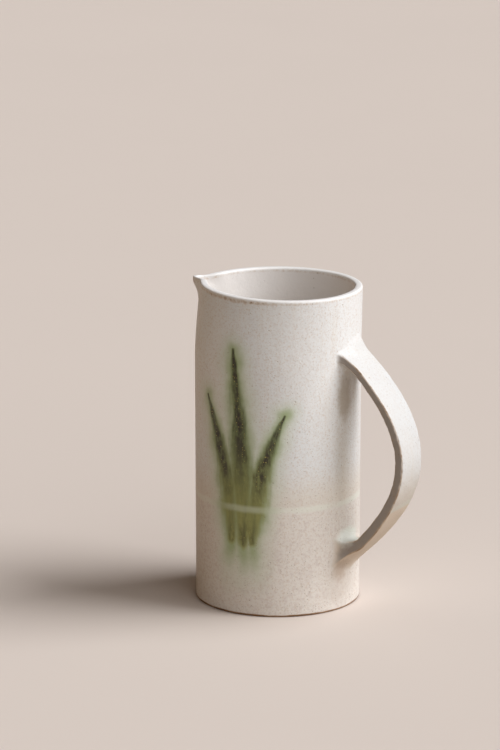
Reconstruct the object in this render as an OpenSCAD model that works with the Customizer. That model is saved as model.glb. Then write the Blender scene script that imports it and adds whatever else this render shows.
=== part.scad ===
/* [Body] */
// Diameter of the wall at the foot
foot_d = 98.2; // [80:0.2:120]
// Diameter of the wall at the rim
rim_d = 100; // [80:0.2:120]
// Height from the table to the top of the rim
body_h = 190.5; // [150:0.5:240]
// Thickness of the wall, and of its rounded rim
wall_t = 4.6; // [3:0.1:7]
// Thickness of the base slab
base_t = 6; // [4:0.5:10]
// Radius of the softened edge under the foot
foot_round = 2; // [0.5:0.1:3.5]
// Leg of the coil pressed into the inside corner
coil_leg = 5; // [2.5:0.5:10]
// Thickness left at the coil's feathered edges
coil_edge = 0.8; // [0.4:0.1:1.5]
// Film of fired slip between two luted pieces
slip_film = 0.1; // [0.05:0.05:0.3]

/* [Spout] */
// How far the pulled lip stands out from the wall
spout_reach = 7.8; // [4:0.2:14]
// Width of the lip along the rim
spout_w = 28; // [18:1:40]
// Width of the crease where the lip starts on the wall
crease_w = 11; // [8:1:16]
// Height of the pulled part, down from the rim
spout_h = 40; // [25:1:60]
// How sharply the lip turns out near the rim
spout_curl = 4; // [2:0.25:6]
// Drop of the lip's tip below the rim
tip_drop = 2; // [0:0.25:4]

/* [Handle] */
// Width of the strap
strap_w = 27; // [18:0.5:34]
// Thickness of the strap at its upper end
strap_t_top = 4.4; // [3.5:0.1:8]
// Thickness of the strap at its lower end
strap_t_bottom = 6.4; // [3.5:0.1:9]
// Radius of the strap's softened long edges
strap_round = 1.5; // [0.5:0.1:1.7]
// Reach of the strap's middle line beyond the wall
handle_reach = 37; // [26:0.2:50]
// Drop from the rim to the middle of the upper root
handle_drop = 36; // [26:0.5:50]
// Height of the middle of the lower root
handle_rise = 30.5; // [22:0.5:45]
// Slope of the strap below level where it leaves the upper root
upper_slope = 42; // [20:1:50]
// Slope of the strap above level where it enters the lower root
lower_slope = 42; // [20:1:50]
// Fullness of the strap's lower half against its upper half
lower_fullness = 0.92; // [0.6:0.01:1.4]

/* [Handle roots] */
// Length of the upper root along the strap
upper_root_l = 9; // [6:0.5:14]
// Length of the lower root along the strap
lower_root_l = 13; // [8:0.5:18]
// Extra width of a root where it meets the wall
root_flare_w = 4; // [0:0.5:8]
// Extra thickness of a root at the wall, on the finger side
root_flare_in = 2.5; // [0:0.5:5]
// Extra thickness of a root at the wall, on the outer side
root_flare_out = 1; // [0:0.5:5]

/* [Hidden] */
$fn = 96;

glaze_white = "#e2ded6";
glaze_warm = "#d3cabc";
bare_clay = "#b9a48b";

// Steps of the curved surfaces that follow a formula
arc_steps = 8;
lip_turns = 28;
lip_levels = 14;
strap_steps = 40;
corner_steps = 5;
root_steps = 6;
reach_samples = 200;

// Room for cuts that pass right through
cut_over = 2;

rim_round = wall_t / 2;
rim_z = body_h - rim_round;
wall_z = base_t + slip_film;
notch_z = body_h - spout_h;
notch_half = asin(spout_w / rim_d);
film_turn = asin(2 * slip_film / rim_d);

// Outer radius of the wall at a height
function wall_r(z) = (foot_d + (rim_d - foot_d) * z / body_h) / 2;

// Inner radius of the wall at a height
function bore_r(z) = wall_r(z) - wall_t;

// Surface through rings of equal count, closed at each end by a strip across the ring
module skin(rings) {
    count = len(rings[0]);
    last = len(rings) - 1;
    points = [for (ring = rings) each ring];
    sides = [
        for (i = [0 : last - 1], j = [0 : count - 1])
            let (k = (j + 1) % count, a = i * count, b = a + count)
            each [[a + j, a + k, b + k], [a + j, b + k, b + j]]
    ];
    first_end = [
        for (j = [0 : ceil(count / 2) - 2])
            let (k = count - 1 - j)
            each k - j > 2 ? [[j, k, k - 1], [j, k - 1, j + 1]] : [[j, k, j + 1]]
    ];
    last_end = [for (face = first_end) [for (i = [2 : -1 : 0]) last * count + face[i]]];
    polyhedron(points, concat(first_end, sides, last_end));
}

// Round disc with a softened lower edge
module base_slab() {
    inset = foot_d / 2 - foot_round;
    color(bare_clay)
    rotate_extrude() {
        square([inset, base_t]);
        translate([0, foot_round])
            square([foot_d / 2, base_t - foot_round]);
        translate([inset, foot_round])
            circle(r = foot_round);
    }
}

// Hollow-faced ring that fills the corner between base and wall
module corner_coil() {
    low = base_t + slip_film;
    high = low + coil_leg;
    hollow = coil_leg - coil_edge;
    centre = [bore_r(low) - slip_film - coil_leg, high];
    face = [
        for (i = [0 : arc_steps])
            let (a = -90 + 90 * i / arc_steps)
            centre + hollow * [cos(a), sin(a)]
    ];
    color(glaze_white)
    rotate_extrude()
        polygon(concat(
            [[centre.x, low], [bore_r(low) - slip_film, low], [bore_r(high) - slip_film, high]],
            [for (i = [arc_steps : -1 : 0]) face[i]]));
}

// Straight wall with a rounded rim, notched for the spout
module body_wall() {
    wedge_l = rim_d;
    color(glaze_white)
    difference() {
        rotate_extrude() {
            polygon([[bore_r(wall_z), wall_z], [wall_r(wall_z), wall_z],
                [wall_r(rim_z), rim_z], [bore_r(rim_z), rim_z]]);
            translate([wall_r(rim_z) - rim_round, rim_z])
                intersection() {
                    circle(r = rim_round);
                    translate([-wall_t, 0])
                        square(2 * wall_t);
                }
        }
        translate([0, 0, notch_z])
            linear_extrude(spout_h + cut_over)
                polygon([[0, 0], wedge_l * [-cos(notch_half), sin(notch_half)],
                    wedge_l * [-cos(notch_half), -sin(notch_half)]]);
    }
}

// Share of the lip's full reach at a height
function lip_rise(z) = pow(min(1, max(0, (z - notch_z) / (rim_z - notch_z))), spout_curl);

// Half angle of the pulled part at a height
function lip_half(z) =
    let (share = min(1, max(0, (z - notch_z) / spout_h)))
    asin((crease_w + (spout_w - crease_w) * share) / rim_d);

// How far the lip stands out at a turn from its middle and a height
function lip_out(turn, z) =
    let (u = min(1, abs(turn) / lip_half(z)))
    spout_reach * lip_rise(z) * pow(cos(90 * u), 2);

// Section of the wall at one turn, pulled outward and a little down
function lip_ring(turn) =
    let (low = notch_z + slip_film,
        levels = [for (i = [0 : lip_levels]) low + (rim_z - low) * sqrt(i / lip_levels)],
        outside = [for (z = levels) [wall_r(z), z]],
        crown = [
            for (i = [1 : 2 * arc_steps - 1])
                let (a = 180 * i / (2 * arc_steps))
                [wall_r(rim_z) - rim_round + rim_round * cos(a), rim_z + rim_round * sin(a)]
        ],
        inside = [for (i = [lip_levels : -1 : 0]) [bore_r(levels[i]), levels[i]]],
        middle = lip_out(turn, body_h) / spout_reach)
    [
        for (p = concat(outside, crown, inside))
            let (r = p[0] + lip_out(turn, p[1]))
            [-r * cos(turn), -r * sin(turn), p[1] - tip_drop * middle * lip_rise(p[1])]
    ];

// Small beak that fills the notch in the rim
module spout() {
    half = notch_half - film_turn;
    color(glaze_white)
        skin([for (i = [0 : lip_turns]) lip_ring(half * (2 * i / lip_turns - 1))]);
}

// Curve of the handle in its own plane, from the upper root to the lower root
upper_z = body_h - handle_drop;
lower_z = handle_rise;
fullest = max([
    for (i = [0 : reach_samples])
        let (s = i / reach_samples)
        3 * s * (1 - s) * ((1 - s) + lower_fullness * s)
]);
upper_run = handle_reach / fullest;
lower_run = lower_fullness * upper_run;
upper_end = [wall_r(upper_z), upper_z];
lower_end = [wall_r(lower_z), lower_z];
upper_lead = upper_end + upper_run * [1, -tan(upper_slope)];
lower_lead = lower_end + lower_run * [1, tan(lower_slope)];

// Point of the handle's middle line
function path_at(s) =
    pow(1 - s, 3) * upper_end + 3 * s * pow(1 - s, 2) * upper_lead
    + 3 * s * s * (1 - s) * lower_lead + pow(s, 3) * lower_end;

// Direction of the handle's middle line
function heading_at(s) =
    let (d = pow(1 - s, 2) * (upper_lead - upper_end)
        + 2 * s * (1 - s) * (lower_lead - upper_lead)
        + s * s * (lower_end - lower_lead))
    d / norm(d);

// Thickness of the strap along its middle line
function strap_t(s) = strap_t_top + (strap_t_bottom - strap_t_top) * s;

// Softened rectangle set square to the handle's middle line
function strap_ring(centre, heading, w, t) =
    let (outward = [-heading[1], heading[0]])
    [
        for (side = [[1, 1], [-1, 1], [-1, -1], [1, -1]], i = [0 : corner_steps])
            let (flip = side[0] * side[1] > 0 ? i : corner_steps - i,
                a = 90 * flip / corner_steps,
                across = side[0] * (w / 2 - strap_round + strap_round * cos(a)),
                off = side[1] * (t / 2 - strap_round + strap_round * sin(a)),
                p = centre + off * outward)
            [p[0], across, p[1]]
    ];

upper_s = upper_root_l * cos(upper_slope) / (3 * upper_run);
lower_s = 1 - lower_root_l * cos(lower_slope) / (3 * lower_run);

// Broad bent strap between the two roots
module handle_strap() {
    upper_cut = path_at(upper_s) + slip_film * heading_at(upper_s);
    lower_cut = path_at(lower_s) - slip_film * heading_at(lower_s);
    inner_rings = [
        for (i = [1 : strap_steps - 1])
            let (s = upper_s + (lower_s - upper_s) * i / strap_steps)
            strap_ring(path_at(s), heading_at(s), strap_w, strap_t(s))
    ];
    color(glaze_white)
        skin(concat(
            [strap_ring(upper_cut, heading_at(upper_s), strap_w, strap_t(upper_s))],
            inner_rings,
            [strap_ring(lower_cut, heading_at(lower_s), strap_w, strap_t(lower_s))]));
}

// Section of a root, with a share of its flare at the wall
function root_ring(centre, s, share) =
    let (heading = heading_at(s),
        outward = [-heading[1], heading[0]],
        shift = share * (root_flare_out - root_flare_in) / 2)
    strap_ring(centre + shift * outward, heading, strap_w + share * root_flare_w,
        strap_t(s) + share * (root_flare_in + root_flare_out));

// Distance that a root runs on behind the wall's face before it is cut
function root_depth(slope, s) =
    let (half_w = (strap_w + root_flare_w) / 2,
        bow = wall_r(lower_z) - sqrt(pow(wall_r(lower_z), 2) - half_w * half_w),
        outer_t = strap_t(s) / 2 + root_flare_out)
    (outer_t * sin(slope) + bow + cut_over) / cos(slope);

// Flared root from a point on the strap to the wall, cut to the wall's outside
module handle_root(strap_s, wall_s, slope) {
    rings = [
        for (i = [0 : root_steps])
            let (q = i / root_steps, s = strap_s + (wall_s - strap_s) * q)
            root_ring(path_at(s), s, q * q)
    ];
    inward = wall_s > strap_s ? heading_at(wall_s) : -heading_at(wall_s);
    buried = root_ring(path_at(wall_s) + root_depth(slope, wall_s) * inward, wall_s, 1);
    difference() {
        skin(wall_s > strap_s ? concat(rings, [buried])
            : concat([buried], [for (i = [root_steps : -1 : 0]) rings[i]]));
        cylinder(h = body_h, r1 = wall_r(0) + slip_film, r2 = wall_r(body_h) + slip_film);
    }
}

// Root under the rim
module upper_handle_root() {
    color(glaze_white)
        handle_root(upper_s, 0, upper_slope);
}

// Thumbed root near the foot
module lower_handle_root() {
    color(glaze_warm)
        handle_root(lower_s, 1, lower_slope);
}

base_slab();
corner_coil();
body_wall();
spout();
upper_handle_root();
handle_strap();
lower_handle_root();
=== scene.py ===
import math

import bpy
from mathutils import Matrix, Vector, noise


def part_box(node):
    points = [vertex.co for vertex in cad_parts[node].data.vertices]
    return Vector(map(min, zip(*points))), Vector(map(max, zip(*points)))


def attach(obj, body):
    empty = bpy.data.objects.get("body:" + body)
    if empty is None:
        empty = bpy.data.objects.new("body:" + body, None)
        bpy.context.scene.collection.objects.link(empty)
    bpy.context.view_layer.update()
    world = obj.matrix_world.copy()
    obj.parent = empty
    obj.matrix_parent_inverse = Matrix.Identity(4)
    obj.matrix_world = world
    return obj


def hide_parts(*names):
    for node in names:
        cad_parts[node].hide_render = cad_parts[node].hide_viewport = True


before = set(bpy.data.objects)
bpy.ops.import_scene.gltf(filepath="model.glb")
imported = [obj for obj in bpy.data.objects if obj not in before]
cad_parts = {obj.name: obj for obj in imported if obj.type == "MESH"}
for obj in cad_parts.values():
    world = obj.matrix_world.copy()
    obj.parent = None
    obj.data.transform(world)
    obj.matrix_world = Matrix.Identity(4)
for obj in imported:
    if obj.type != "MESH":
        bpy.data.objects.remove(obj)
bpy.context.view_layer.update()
mm = 0.001  # shapes below are worked out in millimetres
print("frame loaded:", len(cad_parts), "nodes")


def ease(low, high, value):
    # 0 at low, 1 at high, eased at both; low may be the larger
    t = min(max((value - low) / (high - low), 0.0), 1.0)
    return t * t * (3.0 - 2.0 * t)


def between(a, b, t):
    return a + (b - a) * t


def bell(distance, width):
    return math.exp(-0.5 * (distance / width) ** 2)


def plateau(distance, width, steepness):
    # 1 in the middle, a half at the width
    return 1.0 / (1.0 + abs(distance / width) ** steepness)


def tint(red, green, blue):
    # screen colour, 0 to 255, to the linear values that the shader takes
    parts = [c / 255.0 for c in (red, green, blue)]
    linear = [c / 12.92 if c <= 0.04045 else ((c + 0.055) / 1.055) ** 2.4 for c in parts]
    return (*linear, 1.0)


def polar(radius, angle, height):
    return radius * math.cos(angle), radius * math.sin(angle), height


def addObject(name, data):
    made = bpy.data.objects.new(name, data)
    bpy.context.scene.collection.objects.link(made)
    return made


def makePiece(name, points, faces, material, layers=None):
    mesh = bpy.data.meshes.new(name)
    mesh.from_pydata([Vector(p) * mm for p in points], [], faces)
    mesh.update()
    for face in mesh.polygons:
        face.use_smooth = True
    for label, values in (layers or {}).items():
        mesh.attributes.new(label, "FLOAT", "POINT").data.foreach_set("value", values)
    mesh.materials.append(material)
    piece = addObject(name, mesh)
    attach(piece, "root")
    print("made", name, len(points), "points")
    return piece


def ringFaces(rows, columns, closed=False, flip=False):
    # quads between rings of points, each ring closed on itself
    faces = []
    for i in range(rows if closed else rows - 1):
        for j in range(columns):
            a = i * columns + j
            b = i * columns + (j + 1) % columns
            c = (i + 1) % rows * columns + (j + 1) % columns
            d = (i + 1) % rows * columns + j
            faces.append((d, c, b, a) if flip else (a, b, c, d))
    return faces


# Node helpers: an input that is a socket is linked, anything else is set

inHand = {"tree": None}  # the group or material that is being built, which the helpers add to


def put(kind, inputs=None, **settings):
    tree = inHand["tree"]
    made = tree.nodes.new("ShaderNode" + kind)
    for name, value in settings.items():
        setattr(made, name, value)
    for key, value in (inputs or {}).items():
        if isinstance(value, bpy.types.NodeSocket):
            tree.links.new(value, made.inputs[key])
        else:
            made.inputs[key].default_value = value
    return made


def calc(operation, a, b=0.0, c=0.0, clamp=False):
    return put("Math", {0: a, 1: b, 2: c}, operation=operation, use_clamp=clamp).outputs[0]


def minus(a, b):
    return calc("SUBTRACT", a, b)


def times(a, b):
    return calc("MULTIPLY", a, b)


def timesAdd(a, b, c):
    return calc("MULTIPLY_ADD", a, b, c)


def fade(value, start, end):
    # 0 at start, 1 at end, eased at both; start may be the larger
    inputs = {"Value": value, "From Min": start, "From Max": end}
    return put("MapRange", inputs, interpolation_type="SMOOTHSTEP").outputs["Result"]


def lay(amount, under, over, cover=1.0, blend="MIX"):
    share = amount if cover == 1.0 else times(amount, cover)
    return put("Mix", {0: share, 6: under, 7: over}, data_type="RGBA", blend_type=blend).outputs[2]


def cloud(vector, scale, detail=3.0, rough=0.55):
    inputs = {"Vector": vector, "Scale": scale, "Detail": detail, "Roughness": rough}
    return put("TexNoise", inputs).outputs["Fac"]


def offMiddle(value):
    # noise lies round a half, this lies round nought
    return minus(value, 0.5)


def upright(vector, squash):
    # noise in this space is drawn out along the height
    return put("VectorMath", {0: vector, 1: (1.0, 1.0, squash)}, operation="MULTIPLY").outputs[0]


def axesOf(vector):
    return put("SeparateXYZ", {0: vector}).outputs


def heightOf(vector):
    return times(axesOf(vector)[2], 1000.0)  # millimetres


def startGroup(name, inputs):
    tree = inHand["tree"] = bpy.data.node_groups.new(name, "ShaderNodeTree")
    for label in inputs:
        kind = "NodeSocketVector" if label == "Vector" else "NodeSocketFloat"
        tree.interface.new_socket(label, in_out="INPUT", socket_type=kind)
    return tree.nodes.new("NodeGroupInput").outputs


def endGroup(results):
    tree = inHand["tree"]
    final = tree.nodes.new("NodeGroupOutput")
    for label, socket in results.items():
        tree.interface.new_socket(label, in_out="OUTPUT", socket_type="NodeSocketFloat")
        tree.links.new(socket, final.inputs[label])
    return tree


def use(group, **inputs):
    return put("Group", inputs, node_tree=group).outputs


# Shared effects of the kiln and the brush; an edge is where something starts and where it is full

marks = {  # noise scale, detail and roughness, then the edge of the mark
    "drift": (26.0, 3.0, 0.55, 0.35, 0.7),
    "smoke": (24.0, 2.0, 0.55, 0.58, 0.8),
    "streak": (210.0, 3.0, 0.55, 0.5, 0.75),
    "grain": (900.0, 3.0, 0.65, 0.48, 0.75),
    "mottle": (430.0, 3.0, 0.6, 0.46, 0.72),
    "gathered": (35.0, 2.0, 0.55, 0.38, 0.65),  # where fine specks are denser
    "gaps": (45.0, 2.0, 0.55, 0.2, 0.55),  # where this is full, the pale band is whole
    "breaks": (330.0, 4.0, 0.7, 0.28, 0.6),  # and so is the core of a stroke
}


def mark(vector, name):
    scale, detail, rough, start, full = marks[name]
    return fade(cloud(vector, scale, detail, rough), start, full)


specks = {  # cells to the metre, size of a speck in cells, share of the cells that have one
    "fine": {"Cells": 900.0, "Reach": 0.4, "Share": 0.35},
    "broad": {"Cells": 170.0, "Reach": 0.11, "Share": 0.14},
    "spots": {"Cells": 42.0, "Reach": 0.05, "Share": 0.2},
    "flecks": {"Cells": 800.0, "Reach": 0.45, "Share": 0.42},  # in the brush strokes
}


def ironSpeckGroup():
    given = startGroup("ironSpecks", ["Vector", "Cells", "Reach", "Share"])
    cells = put("TexVoronoi", {"Vector": given["Vector"], "Scale": given["Cells"]})
    dice = put("SeparateColor", {0: cells.outputs["Color"]}).outputs
    present = calc("LESS_THAN", dice[0], given["Share"])
    size = times(timesAdd(dice[1], 0.7, 0.3), given["Reach"])  # the smallest have 0.3 of the reach
    spot = fade(cells.outputs["Distance"], size, times(size, 0.4))  # solid inside 0.4 of its size
    return endGroup({"Mask": times(present, spot)})


dipLine = {
    "height": 63.4,  # lower edge of the pale band
    "width": 3.8,
    "bandTop": (1.25, 0.6),  # edges, in widths above that height
    "bandFoot": (-0.35, 0.3),
    "thinTop": (0.3, -0.1),
    "warmReach": 30.0,  # how far up the warm clay shows through
    "wave": (14.0, 2.0, 2.2),  # noise scale and detail, and how far the line strays
    "ragged": (160.0, 3.0, 1.1),
}


def dipEdge(level, edge):
    return fade(level, *[dipLine["height"] + share * dipLine["width"] for share in edge])


def strays(vector, scale, detail, reach):
    return times(offMiddle(cloud(vector, scale, detail)), reach)


def dipZoneGroup():
    # where the second dip of glaze ended: a pale band, warm clay just above it, thin glaze below
    place = startGroup("dipZones", ["Vector"])["Vector"]
    uneven = calc("ADD", strays(place, *dipLine["wave"]), strays(place, *dipLine["ragged"]))
    level = calc("ADD", heightOf(place), uneven)
    whole = times(dipEdge(level, dipLine["bandTop"]), dipEdge(level, dipLine["bandFoot"]))
    warmTop = dipLine["height"] + dipLine["warmReach"]
    return endGroup({
        "Band": times(whole, mark(place, "gaps")),
        "Below": dipEdge(level, dipLine["thinTop"]),
        "Warm": fade(level, warmTop, dipLine["height"] + dipLine["width"]),
    })


skin = {
    "peel": 620.0,  # noise scales
    "swell": 150.0,
    "peelShare": 0.35,
    "swellShare": 0.65,
    "holeCells": 330.0,
    "holeEdge": (0.17, 0.06),  # in cells
    "holeTint": 0.45,
    "strength": 0.5,
    "depth": 0.0005,  # metres
    "sheen": 60.0,  # noise scale
    "satin": 0.4,  # least roughness
    "uneven": 0.22,  # added by the sheen
    "dry": 0.3,  # added where the clay is bare or stained
}


def glazeSkinGroup():
    # the faint orange peel of a satin glaze, with small pinholes
    given = startGroup("glazeSkin", ["Vector", "Pinholes"])
    peel = cloud(given["Vector"], skin["peel"], 2.0)
    swell = cloud(given["Vector"], skin["swell"], 2.0)
    cells = put("TexVoronoi", {"Vector": given["Vector"], "Scale": skin["holeCells"]})
    dice = put("SeparateColor", {0: cells.outputs["Color"]}).outputs
    chosen = calc("LESS_THAN", dice[2], given["Pinholes"])
    hole = times(chosen, fade(cells.outputs["Distance"], *skin["holeEdge"]))
    swelling = times(swell, skin["swellShare"])
    surface = timesAdd(peel, skin["peelShare"], swelling)
    return endGroup({"Height": minus(surface, hole), "Hole": hole})


edgeWear = {
    "grain": 520.0,  # noise scale
    "grainShare": 0.55,
    "patchShare": 0.75,
    "middle": 0.65,  # wear counts as it is where the noise has this value
    "stain": (0.25, 0.95),
    "bare": (0.62, 0.9),
    "stainCover": 0.75,
}


def edgeBreakGroup():
    # glaze runs thin over an edge and the iron in the clay shows through in patches
    given = startGroup("edgeBreak", ["Vector", "Wear", "Patch"])
    grain = cloud(given["Vector"], edgeWear["grain"], 4.0, 0.7)
    broad = cloud(given["Vector"], given["Patch"], 2.0)
    patches = times(broad, edgeWear["patchShare"])
    torn = timesAdd(grain, edgeWear["grainShare"], patches)
    reach = calc("ADD", given["Wear"], minus(torn, edgeWear["middle"]))
    return endGroup({
        "Stain": fade(reach, *edgeWear["stain"]),
        "Bare": fade(reach, *edgeWear["bare"]),
    })


# Patches where the coat is thinner or thicker, some with the strap's shade painted in
glazePatches = {  # centre, reach, edge in reaches from the centre, amount and colour
    # stained, and darkened with the strap's shadow painted in, in the crook under the strap's upper end
    "crookStainAndShadow": ((48.6, -8.0, 129.0), (8.0, 7.5, 16.0), (1.5, 0.7), 0.66, tint(158, 141, 118)),
    # warmer and darker: a stain with the strap's penumbra painted in, in the shelter of the strap
    "shelterStainAndShadow": ((48.3, -9.6, 92.0), (9.0, 9.0, 32.0), (1.5, 0.4), 0.26, tint(168, 151, 118)),
    # painted shade: darker and greyer all round the strap's foot
    "footShadePatch": ((48.0, -11.0, 18.0), (14.0, 18.0, 19.0), (1.5, 0.6), 0.36, tint(178, 166, 154)),
    # the tail of slip dragged down below it, with the strap's shadow below its foot painted in
    "tailAndShadowPatch": ((47.4, -11.5, 24.2), (8.0, 7.5, 8.5), (1.5, 0.5), 0.58, tint(164, 140, 118)),
    # thick, above it
    "poolPatch": ((51.0, -4.0, 43.6), (8.0, 15.0, 6.5), (1.4, 0.8), 0.95, tint(234, 237, 230)),
}
patchRagged = (260.0, 0.6)  # noise scale of their outlines, and how far these stray, in reaches


def glazePatchGroup(name, centre, reach, edge):
    place = startGroup(name, ["Vector"])["Vector"]
    scale, strayed = patchRagged
    offset = put("VectorMath", {0: place, 1: [c * mm for c in centre]}, operation="SUBTRACT").outputs[0]
    scaled = put("VectorMath", {0: offset, 1: [c * mm for c in reach]}, operation="DIVIDE").outputs[0]
    far = put("VectorMath", {0: scaled}, operation="LENGTH").outputs["Value"]
    ragged = timesAdd(cloud(place, scale), strayed, far)
    return endGroup({"Mask": fade(ragged, *edge)})


reeds = {
    "far": tint(205, 214, 194),
    "near": tint(152, 169, 118),
    "washLow": tint(148, 148, 84),
    "washHigh": tint(92, 102, 58),
    "streak": tint(84, 84, 46),
    "core": tint(50, 44, 32),
    "fleck": tint(170, 160, 88),
    "strokes": [  # centre, foot, tip, half width, lean, all in millimetres
        (3.0, 44.0, 160.0, 6.4, -7.0),
        (-5.0, 46.0, 130.0, 5.6, -19.0),
        (9.0, 45.0, 122.0, 5.4, 19.0),
    ],
    "belly": (2.5, 0.5),  # the width follows a sine: its span and start, in radians
    "bellyPower": 0.8,
    "drip": 0.6,  # the bleed runs this much further below the foot
    "blot": 9.0,  # how unevenly it bleeds
    "pool": (0.16, 0.02),  # edges along the stroke: paint pooled at the foot
    "poolShare": 0.6,
    "load": (0.2, 0.6),  # and the loaded upper part
    "loadShare": (0.9, 0.1),
    "coreEdge": (1.0, 0.2),  # edges in half widths
    "washEdge": (1.6, 0.4),
    "nearEdge": (6.0, -2.0),  # edges in millimetres outside the stroke
    "farEdge": (14.0, 0.0),
    "washRise": (55.0, 115.0),  # heights between which the wash darkens
    "farCover": 0.7,
    "nearCover": 0.85,
    "washCover": 0.85,
    "streakCover": 0.6,
    "streakEdge": (0.45, 0.75),
    "bristles": 300.0,  # noise scales, and how far they tear the outline
    "bristleTear": 1.6,
    "smudges": 70.0,
    "smudgeTear": 0.9,
}


def reedGroup():
    # one upright brush stroke with round ends: a loaded core, a green wash and the pale bleed round it
    given = startGroup(
        "reedStroke", ["Around", "Height", "Centre", "Foot", "Tip", "Width", "Lean", "Grain", "Blot"])
    length = minus(given["Tip"], given["Foot"])
    climbed = minus(given["Height"], given["Foot"])
    along = calc("DIVIDE", climbed, length, clamp=True)
    past = minus(climbed, times(along, length))
    centre = timesAdd(calc("POWER", along, 2.0), given["Lean"], given["Centre"])
    aside = minus(given["Around"], centre)
    swell = timesAdd(calc("POWER", along, reeds["bellyPower"]), *reeds["belly"])
    half = times(calc("SINE", swell), given["Width"])
    across = times(aside, aside)
    reach = calc("SQRT", timesAdd(past, past, across))
    edge = calc("ADD", calc("DIVIDE", reach, half), given["Grain"])
    run = timesAdd(calc("MINIMUM", past, 0.0), -reeds["drip"], past)
    bled = calc("SQRT", timesAdd(run, run, across))
    outside = minus(bled, half)
    spread = timesAdd(given["Blot"], reeds["blot"], outside)
    pooled = times(fade(along, *reeds["pool"]), reeds["poolShare"])
    paint = calc("MAXIMUM", fade(along, *reeds["load"]), pooled)
    loaded = timesAdd(paint, *reeds["loadShare"])
    return endGroup({
        "Core": times(fade(edge, *reeds["coreEdge"]), loaded),
        "Wash": fade(edge, *reeds["washEdge"]),
        "Near": fade(spread, *reeds["nearEdge"]),
        "Far": fade(spread, *reeds["farEdge"]),
    })


ironSpecks = ironSpeckGroup()
dipZones = dipZoneGroup()
glazeSkin = glazeSkinGroup()
edgeBreak = edgeBreakGroup()
patchMasks = {name: glazePatchGroup(name, *values[:3]) for name, values in glazePatches.items()}
reedStroke = reedGroup()
print("effects ready")


# Glaze on the wall, the handle and the inside, built up coat by coat

glaze = {
    "white": tint(231, 232, 232),
    "cool": tint(228, 231, 233),
    "thin": tint(228, 223, 217),
    "warm": tint(223, 212, 196),
    "band": tint(231, 232, 223),
    "celadon": tint(200, 209, 184),
    "blush": tint(199, 184, 178),
    "speck": tint(136, 114, 92),
    "spot": tint(180, 132, 90),
    "stain": tint(190, 158, 122),
    "bare": tint(116, 90, 66),
    # the strap's side faces: thinner wiped glaze, darkened further as painted shade
    "side": tint(156, 147, 139),
    "tan": tint(236, 221, 203),
    "strap": (0.83, 0.815, 0.80, 1.0),  # painted shade: the strap's glaze is darkened by this much against the wall's
    "inside": tint(233, 228, 224),
    # painted shade, deep inside the jug
    "insideDeepShade": tint(212, 198, 180),
    # painted highlight on the rim's up-facing top
    "crestHighlight": tint(240, 238, 236),
}
cover = {  # how strongly each mark covers the coat under it
    "warm": 0.6,
    "smoke": 0.5,
    "streak": 0.16,
    "grain": 0.42,
    "mottle": 0.2,
    "mottleBelow": 0.25,  # added below the dip line
    "fine": 0.1,
    "fineSide": 0.25,  # added towards the handle
    "fineGathered": 0.3,
    "broad": 0.5,
    "spots": 0.75,
    "wallBand": 0.75,
    "strapBand": 0.65,
    "celadon": 0.6,
    "crestHighlight": 0.95,
    "tan": 0.85,
}
speckSide = (-0.01, 0.045)  # metres towards the handle, where fine specks get denser
speckThin = (0.165, 0.105)  # metres up, between which the specks double


def glazeColour(place, zones, dust):
    colour = lay(mark(upright(place, squash=0.35), "drift"), glaze["white"], glaze["cool"])
    colour = lay(zones["Warm"], colour, glaze["warm"], cover["warm"])
    colour = lay(zones["Below"], colour, glaze["thin"])
    colour = lay(times(mark(place, "smoke"), zones["Below"]), colour, glaze["blush"], cover["smoke"])
    colour = lay(mark(upright(place, squash=0.05), "streak"), colour, glaze["warm"], cover["streak"])
    colour = lay(mark(place, "grain"), colour, glaze["stain"], cover["grain"] * dust)
    thick = timesAdd(zones["Below"], cover["mottleBelow"] * dust, cover["mottle"] * dust)
    return lay(times(mark(place, "mottle"), thick), colour, glaze["blush"])


def scattered(place, kind):
    return use(ironSpecks, Vector=place, **specks[kind])["Mask"]


def speckle(place, colour, amount):
    axes = axesOf(place)
    side = timesAdd(fade(axes[0], *speckSide), cover["fineSide"], cover["fine"])
    patchy = timesAdd(mark(place, "gathered"), cover["fineGathered"], side)
    dense = timesAdd(fade(axes[2], *speckThin), 0.5 * amount, 0.5 * amount)
    colour = lay(times(scattered(place, "fine"), times(patchy, dense)), colour, glaze["speck"])
    colour = lay(times(scattered(place, "broad"), dense), colour, glaze["speck"], cover["broad"])
    return lay(scattered(place, "spots"), colour, glaze["spot"], cover["spots"])


def paintReeds(place, colour):
    axes = axesOf(place)
    turn = calc("ARCTAN2", axes[0], times(axes[1], -1.0))
    around = times(turn, wall["footRadius"])
    height = heightOf(place)
    runs = cloud(upright(place, squash=0.16), reeds["bristles"], 4.0, 0.6)
    blot = offMiddle(cloud(place, reeds["smudges"]))
    torn = times(offMiddle(runs), reeds["bristleTear"])
    grain = timesAdd(blot, reeds["smudgeTear"], torn)
    masks = {}
    for centre, foot, tip, width, lean in reeds["strokes"]:
        stroke = use(reedStroke, Around=around, Height=height, Centre=centre, Foot=foot, Tip=tip,
                     Width=width, Lean=lean, Grain=grain, Blot=blot)
        for label in ("Core", "Wash", "Near", "Far"):
            known = masks.get(label)
            masks[label] = calc("MAXIMUM", known, stroke[label]) if known else stroke[label]
    colour = lay(masks["Far"], colour, reeds["far"], reeds["farCover"])
    colour = lay(masks["Near"], colour, reeds["near"], reeds["nearCover"])
    wash = lay(fade(height, *reeds["washRise"]), reeds["washLow"], reeds["washHigh"])
    wash = lay(fade(runs, *reeds["streakEdge"]), wash, reeds["streak"], reeds["streakCover"])
    colour = lay(masks["Wash"], colour, wash, reeds["washCover"])
    broken = mark(upright(place, squash=0.4), "breaks")
    colour = lay(times(masks["Core"], broken), colour, reeds["core"])
    flecks = times(scattered(place, "flecks"), masks["Core"])
    return lay(flecks, colour, reeds["fleck"]), masks["Far"]


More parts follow.
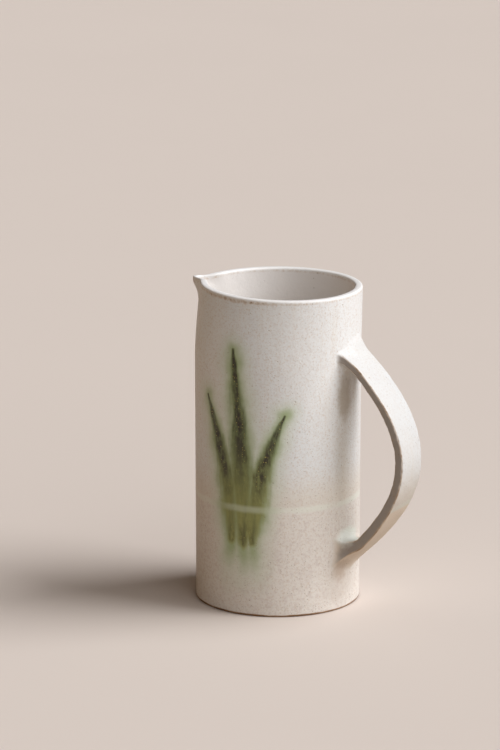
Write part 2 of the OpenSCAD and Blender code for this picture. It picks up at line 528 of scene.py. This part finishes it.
def newMaterial(name):
    material = bpy.data.materials.new(name)
    material.use_nodes = True
    inHand["tree"] = material.node_tree
    shader = material.node_tree.nodes["Principled BSDF"]
    return material, shader, put("TexCoord").outputs["Object"]


def feed(shader, label, value):
    inHand["tree"].links.new(value, shader.inputs[label])


def finishGlaze(shader, place, colour, stain, pinholes):
    surface = use(glazeSkin, Vector=place, Pinholes=pinholes)
    feed(shader, "Base Color", lay(surface["Hole"], colour, glaze["speck"], skin["holeTint"]))
    satin = timesAdd(cloud(place, skin["sheen"]), skin["uneven"], skin["satin"])
    feed(shader, "Roughness", timesAdd(stain, skin["dry"], satin))
    roughen(shader, surface["Height"])
    shader.inputs["IOR"].default_value = 1.5


def roughen(shader, height):
    bump = put("Bump", {"Height": height, "Strength": skin["strength"], "Distance": skin["depth"]})
    feed(shader, "Normal", bump.outputs["Normal"])


def layer(name):
    return put("Attribute", attribute_name=name).outputs["Fac"]


def brokenEdge(place, colour, patch):
    edge = use(edgeBreak, Vector=place, Wear=layer("wear"), Patch=patch)
    colour = lay(edge["Stain"], colour, glaze["stain"], edgeWear["stainCover"])
    return lay(edge["Bare"], colour, glaze["bare"]), edge["Stain"]


def patched(place, colour):
    for name, (*_, amount, shade) in glazePatches.items():
        colour = lay(use(patchMasks[name], Vector=place)["Mask"], colour, shade, amount)
    return colour


def wallGlaze():
    material, shader, place = newMaterial("wallGlaze")
    zones = use(dipZones, Vector=place)
    colour = glazeColour(place, zones, dust=1.0)
    colour = lay(zones["Band"], colour, glaze["band"], cover["wallBand"])
    colour, painted = paintReeds(place, colour)
    colour = lay(times(zones["Band"], painted), colour, glaze["celadon"], cover["celadon"])
    # painted shade: the inside is tinted warm, and darker and warmer with depth
    deep = fade(heightOf(place), *[wall["top"] - depth for depth in wall["insideShadeDepth"]])
    colour = lay(layer("inside"), colour, lay(deep, glaze["inside"], glaze["insideDeepShade"]))
    # painted highlight: the rim's up-facing top is whiter
    colour = lay(layer("crestHighlight"), colour, glaze["crestHighlight"], cover["crestHighlight"])
    colour = speckle(place, patched(place, colour), amount=1.0)
    colour, stain = brokenEdge(place, colour, patch=420.0)
    finishGlaze(shader, place, colour, stain, pinholes=0.12)
    return material


def handleGlaze():
    material, shader, place = newMaterial("handleGlaze")
    zones = use(dipZones, Vector=place)
    colour = glazeColour(place, zones, dust=0.6)
    free = layer("free")
    colour = lay(times(zones["Below"], free), colour, glaze["tan"], cover["tan"])
    colour = lay(zones["Band"], colour, glaze["band"], cover["strapBand"])
    # painted shade: the strap, clear of the wall, is darkened
    colour = lay(free, colour, glaze["strap"], blend="MULTIPLY")
    # the side faces are wiped thin and darkened with painted shade
    smudged = times(cloud(place, handle["wipeScale"]), handle["wipeStray"])
    wipedAndShaded = fade(calc("ADD", smudged, layer("sideFace")), *handle["wipeEdge"])
    colour = patched(place, lay(wipedAndShaded, colour, glaze["side"]))
    colour = speckle(place, colour, amount=0.75)
    colour, stain = brokenEdge(place, colour, patch=140.0)
    finishGlaze(shader, place, colour, stain, pinholes=0.18)
    return material


def insideGlaze():
    material, shader, place = newMaterial("insideGlaze")
    drift = cloud(place, coil["drift"])
    # the fillet deep inside takes the painted shade of the deep inside
    colour = lay(fade(drift, *coil["paleEdge"]), glaze["insideDeepShade"], glaze["warm"])
    colour = speckle(place, colour, amount=1.0)
    finishGlaze(shader, place, colour, fade(drift, *coil["dryEdge"]), pinholes=0.1)
    return material


slab = {
    "clay": tint(148, 111, 76),
    "clayDark": tint(104, 74, 48),
    "grog": 700.0,  # noise scale of the dark grains, and their edge
    "grogEdge": (0.35, 0.7),
    "rust": 60.0,  # and of the stained clouds
    "rustEdge": (0.4, 0.7),
    "rustCover": 0.4,
    "bareEdge": (0.9, 1.6),  # heights between which the wiped, bare foot ends
    "bareStray": 1.2,
    "rough": (-0.35, 0.85),  # what the coat adds, and bare clay
    "footRound": 0.9,
    "topRound": 0.05,
    "inset": 0.05,  # behind the wall's face
    "hollow": 0.35,  # the underside is hollowed this much inside its ring
    "ring": (12.0, 9.0),  # in from the edge: where the hollow ends and the ring starts
    "core": 0.6,  # radius of the pinhole left in its middle
    "columns": 240,
}


def footClay():
    material, shader, place = newMaterial("footClay")
    grog = cloud(place, slab["grog"], 4.0, 0.7)
    drift = cloud(place, slab["rust"])
    clay = lay(fade(grog, *slab["grogEdge"]), slab["clay"], slab["clayDark"])
    clay = lay(fade(drift, *slab["rustEdge"]), clay, glaze["stain"], slab["rustCover"])
    coat = glazeColour(place, use(dipZones, Vector=place), dust=1.0)
    coat = speckle(place, patched(place, coat), amount=1.0)
    ragged = timesAdd(offMiddle(drift), slab["bareStray"], heightOf(place))
    coated = fade(ragged, *slab["bareEdge"])
    feed(shader, "Base Color", lay(coated, clay, coat))
    feed(shader, "Roughness", timesAdd(coated, *slab["rough"]))
    roughen(shader, grog)
    return material


# The wall, its rim and the lip pulled out of it are one sheet of clay

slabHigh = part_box("base_slab")[1]
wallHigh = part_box("body_wall")[1]
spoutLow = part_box("spout")[0]

wall = {
    "footRadius": slabHigh.y / mm,
    "rimRadius": wallHigh.y / mm - 0.06,
    "foot": slabHigh.z / mm,
    "top": wallHigh.z / mm,
    "thickness": 4.6,
    "flare": 0.5,  # the wall opens this much in its top part
    "flareFrom": 152.0,
    "rimTilt": 0.2,  # the rim is this much higher towards the lip
    "rimRound": 2.0,
    "rimPower": 0.6,  # below 1 the rim's section is squarer than an ellipse
    "squeeze": 7.4,  # how far the -Y side was pressed in beside the lip
    "squeezeReach": 155.0,  # degrees from the lip where that ends
    "squeezeLean": 0.78,
    "squeezeRound": 1.5,
    "squeezeDepth": 42.5,  # how far down the wall it reaches
    "squeezeFade": 1.6,
    "wobble": 0.16,
    "swings": ((1.0, 2.0, 0.7, 0.011), (0.6, 3.0, 2.1, -0.017)),  # share, waves, start, turn for each mm up
    "dents": (2.2, 0.035),  # noise scales, round the wall and up it
    "columns": 420,
    "crowding": (3.2, 16.0),  # extra columns round the lip, and over how many degrees
    "outerRows": 96,
    "rowPower": 1.7,
    "cornerRow": 0.12,  # this row hugs the foot so that its corner stays crisp
    "rimRows": 16,
    "insideShadeDepth": (14.0, 60.0),  # below the rim, where the painted shade deep inside starts and where it is full
}
lip = {
    "reach": -spoutLow.x / mm - wallHigh.y / mm - 0.1,
    "widthNear": 5.0,  # degrees, at the rim, on the -Y side
    "widthFar": 6.2,
    "ridge": 0.6,  # share of the reach that runs down the wall
    "ridgeFade": 1.6,
    "ridgeWidth": 3.0,  # added to the width down the ridge
    "ridgeFull": 16.0,  # below the rim, where all of that is added
    "drop": 0.9,  # the pouring edge lies this much below the rim
    "dropNear": (10.0, 3.0),  # degrees and steepness of its slope, on the -Y side
    "dropFar": (11.0, 3.6),
    "notch": 0.55,  # a dent beside the tip on the far side, left by a finger
    "notchTurn": -6.0,
    "notchWidth": 2.8,
    "depth": 38.0,  # the ridge below it fades out here
    "curl": 0.4,  # share of the reach that curls outward at the rim
    "curlEdge": (5.0, 3.0),  # its height and steepness
    "thin": 1.7,  # how much thinner the clay is at the tip
    "thinWidth": 6.0,
    "thinDepth": (6.0, 2.0),
}
rimWear = {
    "stainTurn": 82.0,  # the rim is browner here, degrees from the lip
    "stainWidth": 28.0,
    "ochre": (0.46, 0.68),  # wear elsewhere and here
    "ochreReach": (0.5, 1.4),
    "tip": 0.62,  # wear of the lip's tip
    "tipWidth": 5.5,
    "tipReach": 2.0,
    "tipBend": 0.5,  # radians over the rim
    "bend": 0.3,
    "innerEdge": 0.5,
    "inside": 0.45,  # just inside the rim
    "insideReach": 0.8,
}


def turnFromLip(angle):
    # degrees round from the lip, positive on the -Y side
    return math.degrees(angle) % 360.0 - 180.0


def rimTop(angle):
    turn = turnFromLip(angle)
    level = wall["top"] - wall["rimTilt"] * (1.0 - math.cos(math.radians(turn)))
    width, steepness = lip["dropNear"] if turn > 0.0 else lip["dropFar"]
    dent = lip["notch"] * bell(turn - lip["notchTurn"], lip["notchWidth"])
    return level - lip["drop"] * plateau(turn, width, steepness) - dent


def lipOut(turn, below):
    ridge = lip["ridge"] * max(0.0, 1.0 - below / lip["depth"]) ** lip["ridgeFade"]
    curl = lip["curl"] * plateau(below, *lip["curlEdge"])
    width = lip["widthNear"] if turn > 0.0 else lip["widthFar"]
    width += lip["ridgeWidth"] * ease(0.0, lip["ridgeFull"], below)
    return lip["reach"] * (ridge + curl) * bell(turn, width)


def pressedIn(turn, height):
    if not 0.0 < turn < wall["squeezeReach"]:
        return 0.0
    up = max(0.0, 1.0 - (wall["top"] - height) / wall["squeezeDepth"]) ** wall["squeezeFade"]
    lean = (turn / wall["squeezeReach"]) ** wall["squeezeLean"]
    return wall["squeeze"] * up * math.sin(math.pi * lean) ** wall["squeezeRound"]


def handWobble(angle, height):
    # slow swings round the wall that turn on the way up, and softer local dents
    swing = sum(share * math.sin(waves * angle + start + height * turn)
                for share, waves, start, turn in wall["swings"])
    scaleRound, scaleUp = wall["dents"]
    spot = noise.noise(Vector(polar(scaleRound, angle, height * scaleUp)))
    return wall["wobble"] * (0.5 + 0.25 * swing + 0.5 * spot)


def wallRadius(angle, height):
    turn = turnFromLip(angle)
    share = height / wall["top"]
    straight = between(wall["footRadius"], wall["rimRadius"] - wall["flare"], share)
    radius = straight + wall["flare"] * ease(wall["flareFrom"], wall["top"], height)
    radius -= max(0.0, handWobble(angle, height)) + pressedIn(turn, height)
    return radius + lipOut(turn, max(0.0, rimTop(angle) - wall["rimRound"] - height))


def wallThickness(angle, height):
    below = max(0.0, rimTop(angle) - height)
    thinner = bell(turnFromLip(angle), lip["thinWidth"]) * plateau(below, *lip["thinDepth"])
    return wall["thickness"] - lip["thin"] * thinner


def columnAngles(count):
    # columns stand closer together round the lip
    steps = 3600
    extra, width = wall["crowding"]
    turns = [2.0 * math.pi * i / steps for i in range(steps)]
    weights = [1.0 + extra * bell(turnFromLip(turn), width) for turn in turns]
    share = sum(weights) / count
    angles, gathered = [], 0.0
    for turn, weight in zip(turns, weights):
        if gathered >= share * len(angles):
            angles.append(turn)
        gathered += weight
    return angles


def rowHeights(shoulder, count):
    # rows are closer together towards the rim
    shares = [1.0 - (1.0 - i / count) ** wall["rowPower"] for i in range(count + 1)]
    heights = [between(wall["foot"], shoulder, share) for share in shares]
    return [wall["foot"], wall["foot"] + wall["cornerRow"]] + heights[1:]


def wallProfile(angle):
    # (radius, height, wear, crest highlight, inside) from the outer foot over the rim to the inner foot
    turn = turnFromLip(angle)
    shoulder = rimTop(angle) - wall["rimRound"]
    tip = rimWear["tip"] * bell(turn, rimWear["tipWidth"])
    stained = bell(turn - rimWear["stainTurn"], rimWear["stainWidth"])
    ochre, ochreReach = between(*rimWear["ochre"], stained), between(*rimWear["ochreReach"], stained)
    points = []
    for height in rowHeights(shoulder, wall["outerRows"]):
        below = shoulder - height
        worn = max(ochre * bell(below, ochreReach), tip * bell(below, rimWear["tipReach"]))
        points.append((wallRadius(angle, height), height, worn, 0.0, 0.0))
    outer = wallRadius(angle, shoulder)
    inner = outer - wallThickness(angle, shoulder)
    middle, half = 0.5 * (outer + inner), 0.5 * (outer - inner)
    for i in range(1, wall["rimRows"]):
        share = i / wall["rimRows"]
        bend = math.pi * share
        across = math.copysign(abs(math.cos(bend)) ** wall["rimPower"], math.cos(bend))
        rise = math.sin(bend) ** wall["rimPower"]
        worn = ochre * bell(bend, rimWear["bend"])
        worn += rimWear["innerEdge"] * bell(bend - math.pi, rimWear["bend"])
        worn = max(worn, tip * bell(bend, rimWear["tipBend"]))
        points.append((middle + half * across, shoulder + wall["rimRound"] * rise, worn, rise, share))
    for height in reversed(rowHeights(shoulder, wall["outerRows"] // 2)):
        radius = wallRadius(angle, height) - wallThickness(angle, height)
        worn = rimWear["inside"] * bell(shoulder - height, rimWear["insideReach"])
        points.append((radius, height, worn, 0.0, 1.0))
    return points


def buildWall():
    angles = columnAngles(wall["columns"])
    profiles = [wallProfile(angle) for angle in angles]
    points = []
    layers = {"wear": [], "crestHighlight": [], "inside": []}
    for row in range(len(profiles[0])):
        for angle, profile in zip(angles, profiles):
            radius, height, *values = profile[row]
            points.append(polar(radius, angle, height))
            for label, value in zip(layers, values):
                layers[label].append(value)
    faces = ringFaces(len(profiles[0]), len(angles), closed=True)
    piece = makePiece("glazed_wall", points, faces, wallGlaze(), layers)
    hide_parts("body_wall", "spout")


def buildTurned(name, profile, columns, material, node):
    # a closed ring or disc turned round the jug's axis from its outline
    turns = [2.0 * math.pi * i / columns for i in range(columns)]
    points = [polar(radius, turn, height) for radius, height in profile for turn in turns]
    piece = makePiece(name, points, ringFaces(len(profile), columns, closed=True), material)
    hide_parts(node)


def arc(centreX, centreY, radius, start, end, count):
    turns = [math.radians(between(start, end, i / count)) for i in range(count + 1)]
    return [(centreX + radius * math.cos(t), centreY + radius * math.sin(t)) for t in turns]


def buildSlab():
    outer, top = wall["footRadius"] - slab["inset"], slabHigh.z / mm
    footRound, topRound = slab["footRound"], slab["topRound"]
    hollowEnd, ringStart = slab["ring"]
    # points close beside each rounding keep the flats evenly shaded
    profile = [(slab["core"], slab["hollow"]), (outer - hollowEnd, slab["hollow"])]
    profile += [(outer - ringStart, 0.0), (outer - footRound - 1.0, 0.0)]
    profile += arc(outer - footRound, footRound, footRound, -90.0, 0.0, count=8)
    profile += [(outer, 0.5 * (footRound + top)), (outer, top - topRound - 0.2)]
    profile += arc(outer - topRound, top - topRound, topRound, 0.0, 90.0, count=4)
    profile += [(outer - 2.0, top), (outer - 20.0, top), (slab["core"], top)]
    buildTurned("foot_disc", profile, slab["columns"], footClay(), "base_slab")


coil = {
    "sweep": (-84.0, -6.0),  # degrees of the hollow that a finger left
    "steps": 14,
    "columns": 240,
    "drift": 40.0,  # noise scale of its clouds, with the edges of the paler and the drier ones
    "paleEdge": (0.35, 0.7),
    "dryEdge": (0.6, 0.9),
}


def buildCoil():
    low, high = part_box("corner_coil")
    outer, bottom, top = high.y / mm, low.z / mm, high.z / mm
    leg = top - bottom
    hollow = arc(outer - leg, top, leg, *coil["sweep"], coil["steps"])
    profile = [(outer, bottom), (outer, top)] + hollow[::-1] + [(outer - leg, bottom)]
    buildTurned("corner_fillet", profile, coil["columns"], insideGlaze(), "corner_coil")


# The handle: one pulled strap, smeared on to the wall at both ends

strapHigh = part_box("handle_strap")[1]
handle = {
    "halfWidth": strapHigh.y / mm,
    "waver": (0.25, 9.0, 0.6),  # of the width: how much, how often along the strap, and its start
    "thickTop": 4.4,
    "thickFoot": 6.4,
    "corner": 1.15,
    "crown": 0.12,  # the outer face falls away this much to its edges
    "upperHeight": wall["top"] - 36.0,  # where its middle meets the wall
    "lowerHeight": 30.5,
    "slope": 42.0,  # degrees, at both ends
    "fullness": 0.92,  # lower part of the bow against the upper
    "reach": strapHigh.x / mm,
    "spare": 0.05,  # it stays this far inside that reach
    "rings": 120,
    "steps": (26, 8, 4),  # round a section: each face, corner and side
    "upperFree": 13.0,  # clear of the wall by this much, the strap has its own section
    "lowerFree": 17.0,
    "farFlare": 0.9,  # the far edge of the lower half stands out by this much
    "flareAlong": (0.45, 0.85),
    "dents": ((0.55, 0.07), (0.12, 0.16)),  # noise scale and height, small and broad ones
    "sunk": 0.02,
    "nick": 1.4,  # how deep the edges are chipped
    "nickScale": 0.24,
    "nickFrom": 0.1,
    "nickPlace": Vector((7.0, 3.0, 1.0)),  # shifts where the chips are
    "cornerWear": (0.25, 0.75),  # from the edge of a corner to its middle
    "sideWear": 0.3,
    "droopAcross": (0.0, -13.5),  # from the strap's middle to its near edge
    "wipeScale": 240.0,  # noise scale of the wiped side faces, whose darker colour is partly painted shade
    "wipeStray": 0.5,
    "wipeEdge": (0.3, 1.15),
}


def bowThrough(start, run, finish):
    # the strap's middle line, which leaves the wall at the same slope at both ends
    slope = math.tan(math.radians(handle["slope"]))
    lowerRun = run * handle["fullness"]
    first = (start[0] + run, start[1] - run * slope)
    second = (finish[0] + lowerRun, finish[1] + lowerRun * slope)
    corners = (start, first, second, finish)

    def at(s):
        terms = ((1 - s) ** 3, 3 * s * (1 - s) ** 2, 3 * s * s * (1 - s), s ** 3)
        return tuple(sum(t * c[axis] for t, c in zip(terms, corners)) for axis in (0, 1))

    return at


def strapThickness(s):
    return between(handle["thickTop"], handle["thickFoot"], s)


def onStraightWall(height):
    return between(wall["footRadius"], wall["rimRadius"], height / wall["top"]), height


def strapCurve():
    start = onStraightWall(handle["upperHeight"])
    finish = onStraightWall(handle["lowerHeight"])
    samples = [i / 400 for i in range(401)]
    swell = max(3 * s * (1 - s) * ((1 - s) + handle["fullness"] * s) for s in samples)
    bow = handle["reach"] - 0.5 * strapThickness(0.5) - 0.5 * (start[0] + finish[0])
    for _ in range(6):  # settle the bow so that the outer face just reaches its place
        curve = bowThrough(start, bow / swell, finish)
        furthest = max(curve(s)[0] + 0.5 * strapThickness(s) for s in samples)
        bow += handle["reach"] - handle["spare"] - furthest
    return curve


def strapSection(s):
    # (across, out, normal across, normal out, level) round the strap, from the near outer corner
    waver, often, begins = handle["waver"]
    wide = handle["halfWidth"] - waver + waver * math.sin(often * s + begins)
    thick = 0.5 * strapThickness(s)
    corner = handle["corner"]
    flatWide, flatThick = wide - corner, thick - corner
    faceSteps, cornerSteps, sideSteps = handle["steps"]
    ring = []
    for side, face, turn in ((0.0, 1.0, 90.0), (1.0, 0.0, 0.0), (0.0, -1.0, -90.0), (-1.0, 0.0, 180.0)):
        half, steps = (flatWide, faceSteps) if face else (flatThick, sideSteps)
        for i in range(steps):
            along = between(-half, half, i / steps)
            ring.append((side * wide + face * along, face * thick - side * along, side, face))
        for i in range(cornerSteps):
            t = math.radians(turn - 90.0 * i / cornerSteps)
            across, out = math.cos(t), math.sin(t)
            ring.append(((side + face) * flatWide + corner * across,
                         (face - side) * flatThick + corner * out, across, out))
    crowned = []
    for across, out, turnAcross, turnOut in ring:
        fall = handle["crown"] * (across / wide) ** 2 * ease(-thick, thick, out)
        flare = handle["farFlare"] * ease(*handle["flareAlong"], s) * max(0.0, across / wide)
        crowned.append((across + flare, out - fall, turnAcross, turnOut, out / thick))
    return crowned


def strapRing(curve, s):
    # points, outward normals and wear of one section, with the strap's heading there
    step = 0.002
    here = curve(s)
    ahead, behind = curve(min(1.0, s + step)), curve(max(0.0, s - step))
    heading = Vector((ahead[0] - behind[0], 0.0, ahead[1] - behind[1])).normalized()
    outward = Vector((-heading.z, 0.0, heading.x))
    points, normals, levels, wear, side = [], [], [], [], []
    for across, out, turnAcross, turnOut, level in strapSection(s):
        point = Vector((here[0], across, here[1])) + outward * out
        normal = outward * turnOut + Vector((0.0, turnAcross, 0.0))
        rough = sum(noise.noise(point * scale) * depth for scale, depth in handle["dents"])
        cornerness = min(abs(turnAcross), abs(turnOut)) * 1.42  # about 1 at the middle of a corner
        chipped = noise.noise(point * handle["nickScale"] + handle["nickPlace"]) - handle["nickFrom"]
        nick = handle["nick"] * cornerness * max(0.0, chipped)
        points.append(point + normal * (rough - handle["sunk"] - nick))
        normals.append(normal)
        levels.append(level)
        onCorner, onSide = between(*handle["cornerWear"], cornerness), handle["sideWear"] * abs(turnAcross)
        wear.append(onCorner if cornerness > 0.01 else onSide)
        side.append(turnAcross ** 4)
    return {"points": points, "normals": normals, "level": levels, "wear": wear, "sideFace": side,
            "free": [1.0] * len(points), "middle": Vector((here[0], 0.0, here[1])), "heading": heading}


def wallAngle(point):
    return math.atan2(point.y, point.x)


def gapToWall(point):
    return math.hypot(point.x, point.y) - wallRadius(wallAngle(point), point.z)


def hitWall(point, heading):
    # halves the way until it ends on the wall
    near, far = 0.0, 40.0
    for _ in range(40):
        middle = 0.5 * (near + far)
        if gapToWall(point + heading * middle) > 0.0:
            near = middle
        else:
            far = middle
    return point + heading * near


def ontoWall(point, sink):
    angle = wallAngle(point)
    radius = wallRadius(angle, point.z) - sink
    return Vector(polar(radius, angle, point.z))


def drawnOut(drag, across, level):
    # level is 1 on the strap's outer face and -1 on the inner
    amounts, acrossEdge, levelEdge = drag
    return between(*amounts, ease(*acrossEdge, across)) * ease(*levelEdge, level)


upperRoot = {  # amounts, with their edges across the strap and between its faces
    "climb": ((1.0, 5.5), (-14.0, 4.0), (-0.2, 1.0)),  # of the outer face, least at its near edge
    "hang": ((2.0, 11.0), (14.0, 7.0), (0.2, -1.0)),  # of the inner face, most in its middle
    "aside": 2.8,  # spread of the side faces along the wall
    "droop": 0.16,  # of the near edge on its way to the wall
}


def upperSpread(level, across, beside):
    # how far the fillet climbs and spreads on the wall, and how much the strap droops before it
    over = drawnOut(upperRoot["climb"], across, level)
    under = drawnOut(upperRoot["hang"], abs(across), level)
    droop = upperRoot["droop"] * ease(*handle["droopAcross"], across)
    return over - under, upperRoot["aside"] * beside ** 3, droop


lowerRoot = {
    "hook": ((8.0, 12.0), (12.0, -10.0), (0.7, -1.0)),  # of the inner face up on to the wall
    "tail": ((0.6, 5.0), (12.0, -6.0), (-0.3, 1.0)),  # of the outer face down the wall
    "aside": (4.5, 3.0),  # spread of the side faces, and what is added towards the outer face
    "droop": -0.25,
}


def lowerSpread(level, across, beside):
    # the inner face hooks up on to the wall, the outer face is dragged down it on the near side
    hook = drawnOut(lowerRoot["hook"], across, level)
    tail = drawnOut(lowerRoot["tail"], across, level)
    least, added = lowerRoot["aside"]
    aside = (least + added * max(0.0, level)) * beside ** 2
    return hook - tail, aside, lowerRoot["droop"] * ease(*handle["droopAcross"], across)


smearing = {
    "rings": 20,
    "straight": 6,  # of these rings, before the fillet starts
    "filletLength": 1.3,  # against its spread on the wall
    "filletShare": 0.85,  # at most this much of the way to the wall
    "filletReach": 15.0,  # and no further up the strap than this
    "bend": 0.32,  # how far along the wall the fillet is drawn to
    "outward": 0.3,  # it always spreads at least this much
    "tuck": ((0.5, 0.9), (-1.5, 2.2)),  # past its end or corner, and how deep in the wall
    "skim": 0.02,  # its end lies this much under the surface
    "fades": {"wear": (0.15, 0.6), "sideFace": (0.25, 0.9), "free": (0.45, 1.0)},
}


def smear(ring, meets, spread):
    # rings that carry a section on to the wall and tuck its end just under the surface
    toWall = (meets - ring["middle"]).normalized()
    leaving = ring["heading"] * math.copysign(1.0, ring["heading"].dot(toWall))
    count, straightSteps = smearing["rings"], smearing["straight"]
    curvedSteps = count - straightSteps
    rings = [[] for _ in range(count + 2)]
    for point, normal, level in zip(ring["points"], ring["normals"], ring["level"]):
        climb, aside, droop = spread(level, point.y, abs(normal.y))
        heading = (toWall - Vector((0.0, 0.0, droop))).normalized()
        corner = hitWall(point, heading)
        reach = (corner - point).length
        outOfWall = Vector((corner.x, corner.y, 0.0)).normalized()
        along = (normal - outOfWall * normal.dot(outOfWall)).normalized()
        shift = along * smearing["outward"] + Vector((0.0, math.copysign(aside, normal.y), climb))
        fillet = min(smearing["filletLength"] * shift.length, smearing["filletShare"] * reach,
                     smearing["filletReach"])
        start = corner - heading * fillet
        end = ontoWall(corner + shift, smearing["skim"])
        bend = corner.lerp(end, smearing["bend"])
        run = start - point
        swerve = leaving * run.length - run  # it leaves along the strap, without a kink
        for i in range(straightSteps):
            t = (i + 1) / straightSteps
            rings[i].append(point + run * t + swerve * t * (1 - t) ** 2)
        for i in range(curvedSteps):
            t = (i + 1) / curvedSteps
            rings[straightSteps + i].append(start * (1 - t) ** 2 + bend * 2 * t * (1 - t) + end * t * t)
        onward = shift.normalized()
        for i, (base, (past, sink)) in enumerate(zip((end, corner), smearing["tuck"])):
            rings[count + i].append(ontoWall(base + onward * past, sink))
    layers = {}
    for label, (starts, ends) in smearing["fades"].items():
        keep = [1.0 - ease(starts * count, ends * count, i) for i in range(count + 2)]
        layers[label] = [[value * k for value in ring[label]] for k in keep]
    return rings, layers


def atLength(curve, shares, length):
    # first of the shares that lies this far along from where they start
    origin = Vector(curve(shares[0]))
    for s in shares:
        if (Vector(curve(s)) - origin).length >= length:
            return s
    return shares[-1]


def onMiddleLine(curve, s):
    across, height = curve(s)
    return Vector((across, 0.0, height))


def buildHandle():
    curve = strapCurve()
    shares = [i / 600 for i in range(601)]
    clear = [s for s in shares if gapToWall(onMiddleLine(curve, s)) > 0.0]
    first = atLength(curve, clear, handle["upperFree"])
    last = atLength(curve, clear[::-1], handle["lowerFree"])
    count = handle["rings"]
    body = [strapRing(curve, between(first, last, i / count)) for i in range(count + 1)]
    upper, upperLayers = smear(body[0], onMiddleLine(curve, clear[0]), upperSpread)
    lower, lowerLayers = smear(body[-1], onMiddleLine(curve, clear[-1]), lowerSpread)
    rings = upper[::-1] + [ring["points"] for ring in body] + lower
    layers = {}
    for label in upperLayers:
        stacked = upperLayers[label][::-1] + [ring[label] for ring in body] + lowerLayers[label]
        layers[label] = [value for ring in stacked for value in ring] + [0.0, 0.0]
    columns = len(rings[0])
    points = [p for ring in rings for p in ring]
    faces = ringFaces(len(rings), columns, flip=True)
    for ring, base in ((rings[0], 0), (rings[-1], (len(rings) - 1) * columns)):
        middle = len(points)
        points.append(sum(ring, Vector()) / columns)
        loop = [(base + i, base + (i + 1) % columns) for i in range(columns)]
        faces += [(a, b, middle) if base == 0 else (b, a, middle) for a, b in loop]
    piece = makePiece("strap_handle", points, faces, handleGlaze(), layers)
    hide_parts("upper_handle_root", "handle_strap", "lower_handle_root")


buildWall()
buildSlab()
buildCoil()
buildHandle()


# Floor, light and camera

studio = {
    "floor": tint(216, 204, 195),
    "floorDrift": (3.0, 0.97),  # noise scale, and how much darker its clouds are
    "floorRough": 0.9,
    "bounce": tint(166, 145, 122),  # what the floor throws back on to the jug
    "floorHalf": 9.0,
    "floorLevel": -0.0001,
    "fill": tint(255, 226, 196),
    "fillStrength": 0.06,
    "lampDistance": 1.5,
    "lamps": [  # name, strength, colour, turn from the handle, rise, apparent size in degrees
        ("key", 3.4, (0.968, 0.978, 1.0), 25.0, 44.0, 40.0),
        ("front", 1.36, (0.985, 0.985, 0.99), -33.0, 26.0, 70.0),
        ("card", 0.4, (1.0, 0.66, 0.38), 188.0, 4.0, 60.0),
    ],
}
camera = {
    "turn": 28.5,  # degrees from straight on
    "pitch": 13.82,
    "distance": 2.2,
    "aim": (-0.01665, 0.1349),  # metres to the right of the axis, and up
    "focal": 178.04,
    "sensor": 36.0,
}


def buildFloor():
    material, shader, place = newMaterial("paleFloor")
    scale, darker = studio["floorDrift"]
    soft = [darker * c for c in studio["floor"][:3]] + [1.0]
    shown = lay(cloud(place, scale, 2.0), studio["floor"], soft)
    rays = put("LightPath").outputs
    mirrored = calc("MAXIMUM", rays["Is Glossy Ray"], rays["Is Transmission Ray"])
    seen = calc("MAXIMUM", rays["Is Camera Ray"], mirrored)
    feed(shader, "Base Color", lay(seen, studio["bounce"], shown))
    shader.inputs["Roughness"].default_value = studio["floorRough"]
    half, level = studio["floorHalf"], studio["floorLevel"]
    corners = [(-half, -half, level), (half, -half, level), (half, half, level), (-half, half, level)]
    mesh = bpy.data.meshes.new("pale_floor")
    mesh.from_pydata(corners, [], [(0, 1, 2, 3)])
    mesh.materials.append(material)
    addObject("pale_floor", mesh)


def buildLight():
    world = bpy.data.worlds.new("soft_room")
    bpy.context.scene.world = world
    world.use_nodes = True
    air = world.node_tree.nodes["Background"]
    air.inputs["Color"].default_value = studio["fill"]
    air.inputs["Strength"].default_value = studio["fillStrength"]
    for name, strength, colour, turn, rise, spread in studio["lamps"]:
        lamp = bpy.data.lights.new(name, "SUN")
        lamp.energy = strength
        lamp.color = colour
        lamp.angle = math.radians(spread)
        holder = addObject(name, lamp)
        level = math.cos(math.radians(rise))
        toLamp = Vector(polar(level, math.radians(turn), math.sin(math.radians(rise))))
        holder.location = toLamp * studio["lampDistance"]
        holder.rotation_euler = toLamp.to_track_quat("Z", "Y").to_euler()


def buildCamera():
    turn, pitch = math.radians(camera["turn"]), math.radians(camera["pitch"])
    right = Vector((math.cos(turn), math.sin(turn), 0.0))
    away = Vector((-math.sin(turn), math.cos(turn), 0.0))
    up = Vector((0.0, 0.0, 1.0))
    target = right * camera["aim"][0] + up * camera["aim"][1]
    back = up * math.sin(pitch) - away * math.cos(pitch)
    lens = bpy.data.cameras.new("view")
    lens.sensor_fit = "VERTICAL"
    lens.sensor_height = camera["sensor"]
    lens.lens = camera["focal"]
    eye = addObject("view", lens)
    eye.location = target + back * camera["distance"]
    eye.rotation_euler = back.to_track_quat("Z", "Y").to_euler()
    bpy.context.scene.camera = eye


buildFloor()
buildLight()
buildCamera()
bpy.context.scene.view_settings.view_transform = "Standard"
print("studio ready")

bpy.context.view_layer.update()
